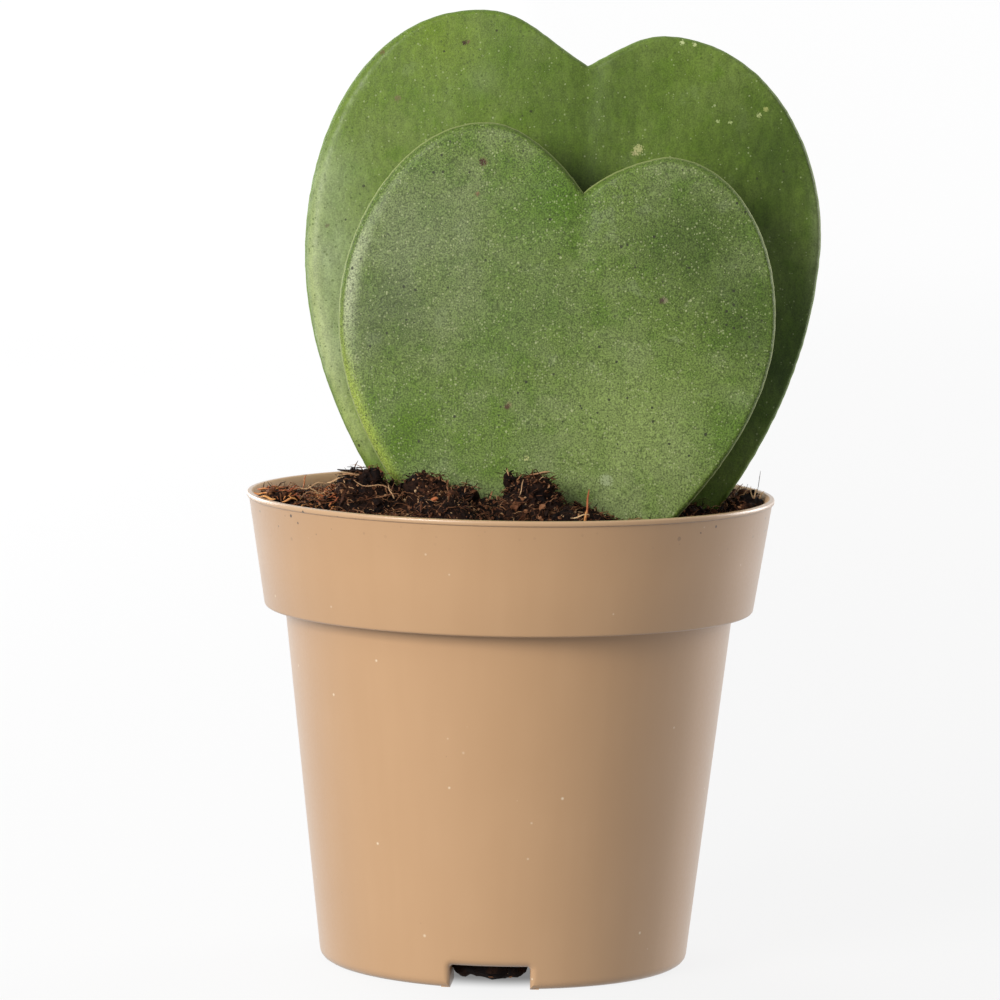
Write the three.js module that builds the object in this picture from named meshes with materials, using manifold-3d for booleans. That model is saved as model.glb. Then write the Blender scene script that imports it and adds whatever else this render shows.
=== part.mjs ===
// Potted hoya: two heart-shaped leaves rooted one behind the other in a small nursery pot.
// Millimetres, +Z up. The front of the plant faces -Y.
// The origin is on the surface that the pot stands on, under the middle of the plant's box.
// The pot's axis lies a little to the left of it, because the back leaf reaches out past the
// rim on the right.

import * as THREE from 'three';
import { mergeVertices } from 'three/addons/utils/BufferGeometryUtils.js';
import Module from 'manifold-3d';

const wasm = await Module();
wasm.setup();

// Driving dimensions of the pot
const rimRadius = 30;
const potHeight = 53.4;
const baseRadius = 21;
const wall = 0.8;
const collarHeight = 13;
const collarTaper = 1.95;
const lipHeight = 0.7;
const lipOverhang = 0.25;
const lipRounding = 0.15;
const bodyTopRadius = 25.5;
const footRounding = 0.9;
const skirtThickness = 1.6;
const cornerRounding = 0.25;
const floorClearance = 2.6;
const floorThickness = 1;
const floorFillet = 1;
const potAxisX = -2.5;

// Drainage notches in the foot, each with two radial ribs and a hole in the floor behind it
const notchAzimuths = [-94, 26, 146];
const notchWidth = 8.9;
const notchChamfer = 0.8;
const ribThickness = 1;
const ribInnerRadius = 14.5;
const drainReach = 15.7;
const drainRadius = 3.2;
const cutClearance = 1;

// Soil
const soilGap = 0.3;
const soilEdgeLevel = 51.4;
const soilHang = 1.2;

// Facets
const turnSteps = 72;
const footSteps = 4;
const drainSteps = 20;
const stalkSteps = 12;
const leafSteps = 76;
const soilRings = 15;

// Colours and roughness
const potColor = '#c49c76';
const potRoughness = 0.45;
const soilColor = '#35261d';
const soilRoughness = 0.95;
const leafRoughness = 0.5;

const collarBottom = potHeight - collarHeight;
const collarTopRadius = rimRadius - lipOverhang;
const collarBottomRadius = collarTopRadius - collarTaper;
const floorTop = floorClearance + floorThickness;

// Heart outlines in each leaf's own plane: x to the right, y up, tip of the heart at 0, 0.
// A side runs from the notch over the top of its lobe and the widest point to the tip, and a
// pull is the length of a curve handle before or after that point.
const tipPull = [3.8, 3.2];

const frontLeaf = {
  name: 'leaf_front',
  color: '#6d8b4a',
  notch: [-0.4, 50.1],
  right: {
    notchPull: [2.2, 2.6],
    lobe: [9.2, 55.2],
    lobePull: [2.3, 8.4],
    wide: [22.9, 35.9],
    widePull: [9.6, 16.1],
  },
  left: {
    notchPull: [-3, 3.6],
    lobe: [-11.2, 56.8],
    lobePull: [3.3, 8.9],
    wide: [-26.4, 35.9],
    widePull: [9.8, 20.2],
  },
  thickness: 3.4,
  camber: 0.9,
  bend: 1,
  tip: [3.2, -5.8, 38],
  lean: 5.5,
  tilt: 2,
};

const backLeaf = {
  name: 'leaf_back',
  color: '#6c9438',
  notch: [-0.5, 70.1],
  right: {
    notchPull: [4.3, 2.8],
    lobe: [8.6, 74.3],
    lobePull: [2.8, 12.7],
    wide: [27.9, 51.1],
    widePull: [10.1, 29.3],
  },
  left: {
    notchPull: [-4.7, 2.5],
    lobe: [-12, 75.5],
    lobePull: [3.9, 11.8],
    wide: [-31.1, 49.4],
    widePull: [14.5, 26.8],
  },
  thickness: 3.6,
  camber: 1.2,
  bend: 1.2,
  tip: [3.6, 3.2, 32],
  lean: 4,
  tilt: 3,
};

// Leaf section: how far each ring of points lies in from the edge, and the share of the way
// from the middle to the last of them for the rings inside.
const edgeInsets = [0.15, 0.5, 1.1, 1.8, 2.6];
const innerShares = [0.8, 0.6, 0.4, 0.2];
const edgeRoundWidth = 2.6;
const middleShare = 0.62;
const midribGroove = 0.4;
const midribRidge = 0.7;
const midribWidth = 1.3;
const stalkTopRadius = 2.4;
const stalkEndRadius = 1.6;
const stalkLength = 9;
const stalkOverlap = 3;

// Clumps of potting mix that stand above the surface: place from the pot's axis, height, radius
const clumps = [
  { x: -16.5, y: -8.5, height: 3.6, radius: 4.4 },
  { x: -9.2, y: -10.8, height: 3.2, radius: 2.9 },
  { x: -7.4, y: -18, height: 2.4, radius: 3.4 },
  { x: 2.6, y: -11.4, height: 4.2, radius: 3.3 },
  { x: -22, y: -3, height: 1.2, radius: 4 },
  { x: 20.5, y: 13, height: 1.5, radius: 4.2 },
  { x: -12, y: 14.5, height: 1.4, radius: 4.5 },
  { x: 5, y: 15, height: 1.8, radius: 4 },
  { x: 14, y: -15, height: 0.8, radius: 3.4 },
];
const mound = { x: -7, y: -6, height: 1.5, radius: 14 };
const crumbSeed = 7;
const crumbCount = 150;
const crumbHeight = 2.2;
const crumbRadii = [1.3, 2.5];
const sunkenShare = 0.4;
const soilEdgeBand = 2.5;

const radians = THREE.MathUtils.degToRad;

// Shared helpers

function weld(geometry) {
  const bare = new THREE.BufferGeometry();
  bare.setAttribute('position', geometry.getAttribute('position'));
  bare.setIndex(geometry.getIndex());
  const welded = mergeVertices(bare);
  const corners = welded.getIndex().array;
  const kept = [];
  for (let i = 0; i < corners.length; i += 3) {
    const [a, b, c] = corners.slice(i, i + 3);
    if (a !== b && b !== c && c !== a) {
      kept.push(a, b, c);
    }
  }
  welded.setIndex(kept);
  return welded;
}

function toSolid(geometry) {
  const welded = weld(geometry);
  return new wasm.Manifold(new wasm.Mesh({
    numProp: 3,
    vertProperties: new Float32Array(welded.getAttribute('position').array),
    triVerts: new Uint32Array(welded.getIndex().array),
  }));
}

function toGeometry(solid) {
  const mesh = solid.getMesh();
  const geometry = new THREE.BufferGeometry();
  geometry.setAttribute('position', new THREE.BufferAttribute(mesh.vertProperties, 3));
  geometry.setIndex(new THREE.BufferAttribute(mesh.triVerts, 1));
  geometry.computeVertexNormals();
  return geometry;
}

function turned(profile) {
  const points = profile.map(([radius, height]) => new THREE.Vector2(radius, height));
  const geometry = new THREE.LatheGeometry(points, turnSteps);
  geometry.rotateX(Math.PI / 2);
  return geometry;
}

function namedMesh(name, geometry, color, roughness) {
  const material = new THREE.MeshStandardMaterial({ color, roughness, metalness: 0 });
  const mesh = new THREE.Mesh(geometry, material);
  mesh.name = name;
  return mesh;
}

// Pot

function bodyRadius(height) {
  const share = (height - footRounding) / (collarBottom - footRounding);
  return baseRadius + (bodyTopRadius - baseRadius) * share;
}

function collarRadius(height) {
  const share = (height - collarBottom) / (potHeight - lipHeight - collarBottom);
  return collarBottomRadius + (collarTopRadius - collarBottomRadius) * share;
}

// The rounded outer edge of the foot, from the ground up
function footArc() {
  const points = [];
  for (let i = 0; i <= footSteps; i += 1) {
    const angle = radians((90 * i) / footSteps);
    const radius = baseRadius - footRounding + footRounding * Math.sin(angle);
    points.push([radius, footRounding - footRounding * Math.cos(angle)]);
  }
  return points;
}

function potProfile() {
  const lipBottom = potHeight - lipHeight;
  const shoulder = collarBottom + wall;
  const outside = [
    [0, floorClearance],
    [baseRadius - skirtThickness, floorClearance],
    [baseRadius - skirtThickness, 0],
    ...footArc(),
    [bodyRadius(collarBottom - cornerRounding), collarBottom - cornerRounding],
    [bodyTopRadius + cornerRounding, collarBottom],
    [collarBottomRadius - cornerRounding, collarBottom],
    [collarBottomRadius, collarBottom + cornerRounding],
    [collarRadius(lipBottom), lipBottom],
  ];
  const lip = [
    [rimRadius, lipBottom + lipRounding],
    [rimRadius, potHeight - lipRounding],
    [rimRadius - lipRounding, potHeight],
    [rimRadius - wall + lipRounding, potHeight],
    [rimRadius - wall, potHeight - lipRounding],
  ];
  const inside = [
    [collarRadius(lipBottom) - wall, lipBottom],
    [collarRadius(shoulder) - wall, shoulder + cornerRounding],
    [collarRadius(shoulder) - wall - cornerRounding, shoulder],
    [bodyTopRadius - wall, shoulder - cornerRounding],
    [bodyRadius(floorTop + floorFillet) - wall, floorTop + floorFillet],
    [bodyRadius(floorTop) - wall - floorFillet, floorTop],
    [0, floorTop],
  ];
  return [...outside, ...lip, ...inside];
}

// A straight block that runs outwards from one radius to another
function radialBlock(innerRadius, outerRadius, width, bottom, top, azimuth, offset = 0) {
  const block = new THREE.BoxGeometry(outerRadius - innerRadius, width, top - bottom);
  block.translate((innerRadius + outerRadius) / 2, offset, (bottom + top) / 2);
  block.rotateZ(radians(azimuth));
  return toSolid(block);
}

// The shape of a drain hole, or of what fills it with a gap all round
function drainPlug(gap, bottom, top, azimuth) {
  const radius = drainRadius - gap;
  const plug = new THREE.CylinderGeometry(radius, radius, top - bottom, drainSteps);
  plug.rotateX(Math.PI / 2);
  plug.translate(drainReach, 0, (bottom + top) / 2);
  plug.rotateZ(radians(azimuth));
  return toSolid(plug);
}

// What a notch loses at its outer edge, so that the edge is bevelled all round
function notchFlare(azimuth) {
  const half = notchWidth / 2;
  const opening = new THREE.Shape();
  opening.moveTo(-half, -cutClearance);
  opening.lineTo(half, -cutClearance);
  opening.lineTo(half, floorClearance);
  opening.lineTo(-half, floorClearance);
  const flare = new THREE.ExtrudeGeometry(opening, {
    depth: cutClearance,
    bevelThickness: notchChamfer,
    bevelSize: notchChamfer,
    bevelSegments: 1,
  });
  flare.rotateX(Math.PI / 2);
  flare.rotateZ(Math.PI / 2);
  flare.translate(baseRadius - notchChamfer / 2, 0, 0);
  flare.rotateZ(radians(azimuth));
  return toSolid(flare);
}

function makePot() {
  let pot = toSolid(turned(potProfile()));
  const skirtMiddle = baseRadius - skirtThickness / 2 - footRounding / 2;
  const ribTop = floorClearance + floorThickness / 2;
  const outside = baseRadius + cutClearance;
  for (const azimuth of notchAzimuths) {
    for (const side of [-1, 1]) {
      const offset = (side * (notchWidth + ribThickness)) / 2;
      pot = pot.add(radialBlock(ribInnerRadius, skirtMiddle, ribThickness, 0, ribTop, azimuth, offset));
    }
  }
  for (const azimuth of notchAzimuths) {
    const below = -cutClearance;
    pot = pot.subtract(radialBlock(ribInnerRadius, outside, notchWidth, below, floorClearance, azimuth));
    pot = pot.subtract(notchFlare(azimuth));
    pot = pot.subtract(drainPlug(0, floorClearance - cutClearance, floorTop + cutClearance, azimuth));
  }
  return toGeometry(pot);
}

// Leaves

function heartOutline(leaf) {
  const { notch, left, right } = leaf;
  const heart = new THREE.Shape();
  heart.moveTo(...notch);
  heart.bezierCurveTo(
    notch[0] + right.notchPull[0], notch[1] + right.notchPull[1],
    right.lobe[0] - right.lobePull[0], right.lobe[1],
    ...right.lobe,
  );
  heart.bezierCurveTo(
    right.lobe[0] + right.lobePull[1], right.lobe[1],
    right.wide[0], right.wide[1] + right.widePull[0],
    ...right.wide,
  );
  heart.bezierCurveTo(right.wide[0], right.wide[1] - right.widePull[1], tipPull[0], tipPull[1], 0, 0);
  heart.bezierCurveTo(-tipPull[0], tipPull[1], left.wide[0], left.wide[1] - left.widePull[1], ...left.wide);
  heart.bezierCurveTo(
    left.wide[0], left.wide[1] + left.widePull[0],
    left.lobe[0] - left.lobePull[1], left.lobe[1],
    ...left.lobe,
  );
  heart.bezierCurveTo(
    left.lobe[0] + left.lobePull[0], left.lobe[1],
    notch[0] + left.notchPull[0], notch[1] + left.notchPull[1],
    ...notch,
  );
  return heart.getSpacedPoints(leafSteps).slice(0, leafSteps);
}

// Unit vectors that point into the leaf at each point of its outline
function inwardNormals(outline) {
  return outline.map((point, i) => {
    const before = outline[(i + outline.length - 1) % outline.length];
    const after = outline[(i + 1) % outline.length];
    const along = after.clone().sub(before).normalize();
    return new THREE.Vector2(along.y, -along.x);
  });
}

// One ring of points of a leaf: its outline moved in by inset, then drawn towards the middle
function leafRing(leaf, outline, normals, inset, share, grow) {
  const middle = new THREE.Vector2(0, leaf.notch[1] * middleShare);
  return outline.map((point, i) => {
    const belowWide = point.y < leaf.left.wide[1];
    const shift = inset - (belowWide ? grow : 0);
    const moved = point.clone().addScaledVector(normals[i], shift);
    return middle.clone().lerp(moved, share);
  });
}

function leafMiddleDepth(leaf, point) {
  const across = point.x / leaf.right.wide[0];
  const up = point.y / leaf.notch[1];
  return leaf.camber * across * across + leaf.bend * up * up;
}

// The groove on the face runs down from the notch and fades, and the ridge on the back rises
// towards the stalk.
function midribDepth(leaf, point, side) {
  const near = Math.exp(-((point.x / midribWidth) ** 2));
  const up = THREE.MathUtils.clamp(point.y / leaf.notch[1], 0, 1);
  return side < 0 ? -midribGroove * near * up : midribRidge * near * (1 - up);
}

function leafRows(leaf, grow) {
  const outline = heartOutline(leaf);
  const normals = inwardNormals(outline);
  const rings = [
    ...edgeInsets.map((inset) => ({ inset, share: 1 })),
    ...innerShares.map((share) => ({ inset: edgeInsets.at(-1), share })),
  ];
  const face = (side) => rings.map(({ inset, share }) => {
    const round = Math.sqrt(1 - (1 - Math.min(inset / edgeRoundWidth, 1)) ** 2);
    const half = (leaf.thickness / 2) * round + grow;
    return leafRing(leaf, outline, normals, inset, share, grow).map((point) => {
      const rib = midribDepth(leaf, point, side) * round;
      return new THREE.Vector3(point.x, leafMiddleDepth(leaf, point) + side * (half + rib), point.y);
    });
  });
  const rim = leafRing(leaf, outline, normals, 0, 1, grow);
  const rimRow = rim.map((point) => new THREE.Vector3(point.x, leafMiddleDepth(leaf, point), point.y));
  return [...face(-1).reverse(), rimRow, ...face(1)];
}

function rowCentre(row) {
  const sum = row.reduce((total, point) => total.add(point), new THREE.Vector3());
  return sum.divideScalar(row.length);
}

// A closed skin over rows of points, with a point in the middle of the first and last row
function skin(rows) {
  const count = rows[0].length;
  const points = [rowCentre(rows[0]), ...rows.flat(), rowCentre(rows.at(-1))];
  const at = (row, i) => 1 + row * count + (i % count);
  const corners = [];
  for (let i = 0; i < count; i += 1) {
    corners.push(0, at(0, i + 1), at(0, i));
    corners.push(points.length - 1, at(rows.length - 1, i), at(rows.length - 1, i + 1));
    for (let row = 0; row < rows.length - 1; row += 1) {
      corners.push(at(row, i), at(row + 1, i + 1), at(row + 1, i));
      corners.push(at(row, i), at(row, i + 1), at(row + 1, i + 1));
    }
  }
  const geometry = new THREE.BufferGeometry().setFromPoints(points);
  geometry.setIndex(corners);
  return geometry;
}

function placeLeaf(geometry, leaf) {
  const turn = new THREE.Euler(-radians(leaf.tilt), radians(leaf.lean), 0);
  geometry.applyMatrix4(new THREE.Matrix4().makeRotationFromEuler(turn));
  geometry.translate(...leaf.tip);
  return geometry;
}

// The short leaf stalk that roots in the soil
function stalk(grow) {
  const length = stalkLength + stalkOverlap + grow;
  const geometry = new THREE.CylinderGeometry(stalkTopRadius + grow, stalkEndRadius + grow, length, stalkSteps);
  geometry.rotateX(Math.PI / 2);
  geometry.translate(0, 0, stalkOverlap - length / 2);
  return geometry;
}

function leafSolid(leaf, grow) {
  const blade = toSolid(placeLeaf(skin(leafRows(leaf, grow)), leaf));
  return blade.add(toSolid(placeLeaf(stalk(grow), leaf)));
}

// Soil

// Numbers from 0 to 1 that come out the same each time
function seededRandom(seed) {
  let state = seed;
  return () => {
    state = (state * 1664525 + 1013904223) % 4294967296;
    return state / 4294967296;
  };
}

function scatterCrumbs() {
  const random = seededRandom(crumbSeed);
  const crumbs = [];
  for (let i = 0; i < crumbCount; i += 1) {
    const angle = random() * 2 * Math.PI;
    const reach = Math.sqrt(random()) * (collarBottomRadius - 1);
    crumbs.push({
      x: reach * Math.cos(angle),
      y: reach * Math.sin(angle),
      height: (random() - sunkenShare) * crumbHeight,
      radius: THREE.MathUtils.lerp(...crumbRadii, random()),
    });
  }
  return crumbs;
}

const crumbs = scatterCrumbs();

// Clumps have steep sides and a blunt top, and the mound under them is broad and soft
function soilRise(x, y) {
  const away = (item) => Math.hypot(x - item.x, y - item.y) / item.radius;
  let rise = mound.height * Math.exp(-(away(mound) ** 2));
  for (const clump of clumps) {
    rise += clump.height * Math.exp(-(away(clump) ** 4));
  }
  for (const crumb of crumbs) {
    rise += crumb.height * Math.exp(-(away(crumb) ** 2));
  }
  return rise;
}

function soilProfile() {
  const bottom = floorTop + soilGap;
  const shoulder = collarBottom + wall + soilGap;
  const edgeRadius = collarRadius(soilEdgeLevel) - wall - soilGap;
  const profile = [
    [0, bottom],
    [bodyRadius(floorTop) - wall - floorFillet - soilGap, bottom],
    [bodyRadius(floorTop + floorFillet) - wall - soilGap, floorTop + floorFillet + soilGap],
    [bodyTopRadius - wall - soilGap, shoulder],
    [collarRadius(shoulder) - wall - soilGap - cornerRounding, shoulder + cornerRounding],
  ];
  for (let ring = soilRings; ring >= 0; ring -= 1) {
    profile.push([(edgeRadius * ring) / soilRings, soilEdgeLevel]);
  }
  return profile;
}

function raiseSurface(geometry) {
  const position = geometry.getAttribute('position');
  const edgeRadius = collarRadius(soilEdgeLevel) - wall - soilGap;
  for (let i = 0; i < position.count; i += 1) {
    const x = position.getX(i);
    const y = position.getY(i);
    const onTop = position.getZ(i) > collarBottom + collarHeight / 2;
    if (onTop) {
      const inset = edgeRadius - Math.hypot(x, y);
      const share = THREE.MathUtils.smoothstep(inset, 0, soilEdgeBand);
      position.setZ(i, soilEdgeLevel + soilRise(x, y) * share);
    }
  }
  return geometry;
}

function makeSoil() {
  let soil = toSolid(raiseSurface(turned(soilProfile())));
  for (const azimuth of notchAzimuths) {
    soil = soil.add(drainPlug(soilGap, floorClearance - soilHang, floorTop + cutClearance, azimuth));
  }
  soil = soil.subtract(leafSolid(frontLeaf, soilGap));
  soil = soil.subtract(leafSolid(backLeaf, soilGap));
  return toGeometry(soil);
}

// Plant

const plant = new THREE.Group();
plant.position.x = potAxisX;
plant.add(namedMesh('pot', makePot(), potColor, potRoughness));
plant.add(namedMesh('soil', makeSoil(), soilColor, soilRoughness));
for (const leaf of [frontLeaf, backLeaf]) {
  plant.add(namedMesh(leaf.name, toGeometry(leafSolid(leaf, 0)), leaf.color, leafRoughness));
}

export default plant;
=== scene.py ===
import bisect
import math
import random

import bmesh
import bpy
import numpy as np
from mathutils import Euler, Matrix, Vector, noise
from mathutils.bvhtree import BVHTree


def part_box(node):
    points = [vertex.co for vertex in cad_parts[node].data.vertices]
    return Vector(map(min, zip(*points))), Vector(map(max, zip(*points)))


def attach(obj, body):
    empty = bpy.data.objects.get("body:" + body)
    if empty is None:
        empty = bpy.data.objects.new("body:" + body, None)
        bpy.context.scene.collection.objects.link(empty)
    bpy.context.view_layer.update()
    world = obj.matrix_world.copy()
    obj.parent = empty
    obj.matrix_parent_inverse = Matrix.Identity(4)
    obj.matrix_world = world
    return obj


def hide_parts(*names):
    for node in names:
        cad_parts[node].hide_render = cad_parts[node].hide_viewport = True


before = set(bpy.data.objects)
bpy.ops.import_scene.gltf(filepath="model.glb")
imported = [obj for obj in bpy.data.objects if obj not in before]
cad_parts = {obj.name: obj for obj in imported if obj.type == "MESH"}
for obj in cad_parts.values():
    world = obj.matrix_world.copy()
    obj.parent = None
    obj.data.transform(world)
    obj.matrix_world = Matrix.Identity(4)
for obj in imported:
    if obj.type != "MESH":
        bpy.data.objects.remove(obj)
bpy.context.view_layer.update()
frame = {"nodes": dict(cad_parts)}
bpy.ops.object.select_all(action="DESELECT")
print("frame loaded:", ", ".join(frame["nodes"]))

mm = 0.001
potLow, potHigh = (Vector(corner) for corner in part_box("pot"))
axisX = (potLow.x + potHigh.x) / 2
rimRadius = (potHigh.x - potLow.x) / 2
potTop = potHigh.z


# small helpers

def setMode(mode):
    bpy.ops.object.mode_set(mode=mode)


def applyPlace():
    bpy.ops.object.transform_apply(location=True, rotation=True, scale=True)


def pickOnly(obj):
    if bpy.context.object and bpy.context.object.mode != "OBJECT":
        setMode("OBJECT")
    bpy.ops.object.select_all(action="DESELECT")
    obj.select_set(True)
    bpy.context.view_layer.objects.active = obj


def freshObject(name):
    made = bpy.context.object
    made.name = name
    made.data.name = name
    return made


def applyAll(obj):
    pickOnly(obj)
    for modifier in list(obj.modifiers):
        bpy.ops.object.modifier_apply(modifier=modifier.name)
    applyPlace()


def tidyNormals(obj):
    pickOnly(obj)
    setMode("EDIT")
    bpy.ops.mesh.select_all(action="SELECT")
    bpy.ops.mesh.normals_make_consistent(inside=False)
    setMode("OBJECT")


def linkMesh(name, mesh):
    made = bpy.data.objects.new(name, mesh)
    bpy.context.collection.objects.link(made)
    tidyNormals(made)
    return made


def booleanWith(obj, tool, operation):
    modifier = obj.modifiers.new("join or cut", "BOOLEAN")
    modifier.operation = operation
    modifier.solver = "MANIFOLD"
    modifier.object = tool
    pickOnly(obj)
    bpy.ops.object.modifier_apply(modifier=modifier.name)
    bpy.data.objects.remove(tool)


def treeOf(obj):
    return BVHTree.FromObject(obj, bpy.context.evaluated_depsgraph_get())


def fromAxis(point):
    return math.hypot(point.x - axisX, point.y)


def turnBy(degrees, axis="Z"):
    return Matrix.Rotation(math.radians(degrees), 4, axis)


def withNormals(obj):
    return [(vertex, vertex.normal.copy()) for vertex in obj.data.vertices]


# The chosen edges or faces of a mesh are cut finer

def cutFiner(obj, kind, parts, isChosen, cuts):
    pickOnly(obj)
    setMode("EDIT")
    bpy.ops.mesh.select_mode(type=kind)
    bpy.ops.mesh.select_all(action="DESELECT")
    setMode("OBJECT")
    for part in parts:
        part.select = isChosen(part)
    setMode("EDIT")
    bpy.ops.mesh.subdivide(number_cuts=cuts)
    setMode("OBJECT")
    obj.data.update()


def mix(a, b, share):
    return a + (b - a) * share


def smooth(low, high, value):
    share = min(max((value - low) / (high - low), 0), 1)
    return share * share * (3 - 2 * share)


def joinAll(objects, name):
    bpy.ops.object.select_all(action="DESELECT")
    for obj in objects:
        obj.select_set(True)
    bpy.context.view_layer.objects.active = objects[0]
    bpy.ops.object.join()
    joined = freshObject(name)
    applyPlace()
    return joined


def finishPiece(piece, material, nodes=()):
    piece.data.materials.clear()
    piece.data.materials.append(material)
    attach(piece, "root")
    if nodes:
        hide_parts(*nodes)
    print("made", piece.name, "with", len(piece.data.polygons), "faces")


# camera

cameraSet = {
    "place": (-2.5 * mm, -635.2 * mm, 118.77 * mm),
    "turnLeft": 0.0019,
    "pitchDown": 0.1038,
    "roll": 0.0168,
    "lens": 202.0,
    "sensor": 36.0,
    "nearest": 0.01,
    "farthest": 50,
}


def placeCamera():
    bpy.ops.object.camera_add()
    camera = freshObject("photo_camera")
    camera.data.sensor_width = cameraSet["sensor"]
    camera.data.lens = cameraSet["lens"]
    camera.data.clip_start = cameraSet["nearest"]
    camera.data.clip_end = cameraSet["farthest"]
    turn = Matrix.Rotation(cameraSet["turnLeft"], 4, "Z")
    pitch = Matrix.Rotation(math.pi / 2 - cameraSet["pitchDown"], 4, "X")
    roll = Matrix.Rotation(cameraSet["roll"], 4, "Z")
    camera.matrix_world = Matrix.Translation(cameraSet["place"]) @ turn @ pitch @ roll
    bpy.context.scene.camera = camera


placeCamera()
print("camera placed")


# node helpers


# A socket takes a link from another socket, or else a plain value

def feed(socket, value):
    if isinstance(value, bpy.types.NodeSocket):
        socket.id_data.links.new(value, socket)
    else:
        socket.default_value = (*value, 1) if socket.type == "RGBA" else value


# A node goes into the tree of the sockets that feed it

def addNode(kind, values, **settings):
    sources = [value for value in values.values() if isinstance(value, bpy.types.NodeSocket)]
    made = sources[0].id_data.nodes.new(kind)
    for name, value in settings.items():
        setattr(made, name, value)
    for name, value in values.items():
        feed(made.inputs[name], value)
    return made


def math2(operation, first, second, clamp=False):
    made = addNode("ShaderNodeMath", {0: first, 1: second}, operation=operation, use_clamp=clamp)
    return made.outputs[0]


def times(first, second):
    return math2("MULTIPLY", first, second)


def blendColor(share, first, second):
    return addNode("ShaderNodeMix", {0: share, 6: first, 7: second}, data_type="RGBA").outputs[2]


def between(value, low, high, start=0.0, end=1.0):
    spans = {"Value": value, "From Min": low, "From Max": high, "To Min": start, "To Max": end}
    return addNode("ShaderNodeMapRange", spans, interpolation_type="SMOOTHSTEP").outputs["Result"]


def splitAxes(vector):
    return addNode("ShaderNodeSeparateXYZ", {"Vector": vector}).outputs


def squeezed(where, upright, turn=0.0):
    values = {"Vector": where, "Rotation": (0, turn, 0), "Scale": (1, 1, upright)}
    return addNode("ShaderNodeMapping", values).outputs["Vector"]


# How far a point is from a place, along the axes that count

def farFrom(where, place, axes):
    values = {"Vector": where, "Location": [-at for at in place], "Scale": axes}
    shifted = addNode("ShaderNodeMapping", values).outputs["Vector"]
    return addNode("ShaderNodeVectorMath", {0: shifted}, operation="LENGTH").outputs["Value"]


def readMark(tree, name):
    mark = tree.nodes.new("ShaderNodeAttribute")
    mark.attribute_name = name
    return mark.outputs["Fac"]


def bumped(height, strength, depth):
    values = {"Height": height, "Strength": strength, "Distance": depth}
    return addNode("ShaderNodeBump", values).outputs["Normal"]


def newGroup(name, numbers, results):
    group = bpy.data.node_groups.new(name, "ShaderNodeTree")
    group.interface.new_socket(name="Vector", in_out="INPUT", socket_type="NodeSocketVector")
    for label in numbers:
        group.interface.new_socket(name=label, in_out="INPUT", socket_type="NodeSocketFloat")
    for label in results:
        group.interface.new_socket(name=label, in_out="OUTPUT", socket_type="NodeSocketFloat")
    start = group.nodes.new("NodeGroupInput").outputs
    return group, start, group.nodes.new("NodeGroupOutput").inputs


def newMaterial(name):
    material = bpy.data.materials.new(name)
    material.use_nodes = True
    tree = material.node_tree
    return material, tree, tree.nodes.new("ShaderNodeTexCoord").outputs["Object"]


def feedShader(tree, values):
    for name, value in values.items():
        feed(tree.nodes["Principled BSDF"].inputs[name], value)


# Noise in two sizes, for the leaves, the pot and the potting mix

def makeMottleGroup():
    group, start, end = newGroup("mottle", ("Fine Scale", "Coarse Scale"), ("Fine", "Coarse"))
    for label, detail in (("Fine", 3.0), ("Coarse", 2.0)):
        values = {"Vector": start["Vector"], "Scale": start[label + " Scale"]}
        cloud = addNode("ShaderNodeTexNoise", {**values, "Detail": detail, "Roughness": 0.6})
        feed(end[label], cloud.outputs["Fac"])
    return group


# Sparse round spots of uneven size: scars on the leaves, dust on the pot

def makeSpotGroup():
    group, start, end = newGroup("spots", ("Scale", "Size", "Share"), ("Mask",))
    values = {"Vector": start["Vector"], "Scale": start["Scale"], "Randomness": 1.0}
    cells = addNode("ShaderNodeTexVoronoi", values).outputs
    parts = addNode("ShaderNodeSeparateColor", {"Color": cells["Color"]}).outputs
    chosen = math2("LESS_THAN", parts["Red"], start["Share"])
    reach = times(parts["Green"], start["Size"])
    inside = math2("SUBTRACT", reach, cells["Distance"])
    sharpness = 18.0
    edge = math2("MULTIPLY", inside, sharpness, clamp=True)
    feed(end["Mask"], times(chosen, edge))
    return group


mottleGroup = makeMottleGroup()
spotGroup = makeSpotGroup()
noiseSpan = (0.3, 0.7)


def mottled(where, fine, coarse):
    values = {"Vector": where, "Fine Scale": fine, "Coarse Scale": coarse}
    return addNode("ShaderNodeGroup", values, node_tree=mottleGroup).outputs


def spotted(where, scale, size, share):
    values = {"Vector": where, "Scale": scale, "Size": size, "Share": share}
    return addNode("ShaderNodeGroup", values, node_tree=spotGroup).outputs["Mask"]


# nursery pot

potSet = {
    "sides": 192,
    "baseRadius": 21 * mm,
    "bodyTopRadius": 25.5 * mm,
    "collarBottomRadius": 27.8 * mm,
    "collarHeight": 13 * mm,
    "lipHeight": 0.6 * mm,
    "lipOverhang": 0.25 * mm,
    "wall": 0.8 * mm,
    "skirt": 1.6 * mm,
    "footRound": 0.9 * mm,
    "roundSteps": 4,
    "floorUnder": 2.6 * mm,
    "floorThick": 1 * mm,
    "floorMiddle": 4 * mm,
    "rowHeights": (1.2, 1.9, 2.6, 3.3, 4, 5, 6.5, 9, 13, 18, 23, 28, 33, 37),
    "cornerRound": 0.3 * mm,
    "lipRound": 0.2 * mm,
    "notchTurns": (-94, 26, 146),
    "notchWidth": 8.9 * mm,
    "notchRound": 0.85 * mm,
    "notchCorner": 0.35 * mm,
    "ribThick": 1 * mm,
    "ribInner": 14.5 * mm,
    "drainReach": 15.7 * mm,
    "drainRadius": 3.2 * mm,
    "smoothAngle": 35,
}
collarBottom = potTop - potSet["collarHeight"]
floorTop = potSet["floorUnder"] + potSet["floorThick"]


def bodyRadius(height):
    share = (height - potSet["footRound"]) / (collarBottom - potSet["footRound"])
    return mix(potSet["baseRadius"], potSet["bodyTopRadius"], share)


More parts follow.
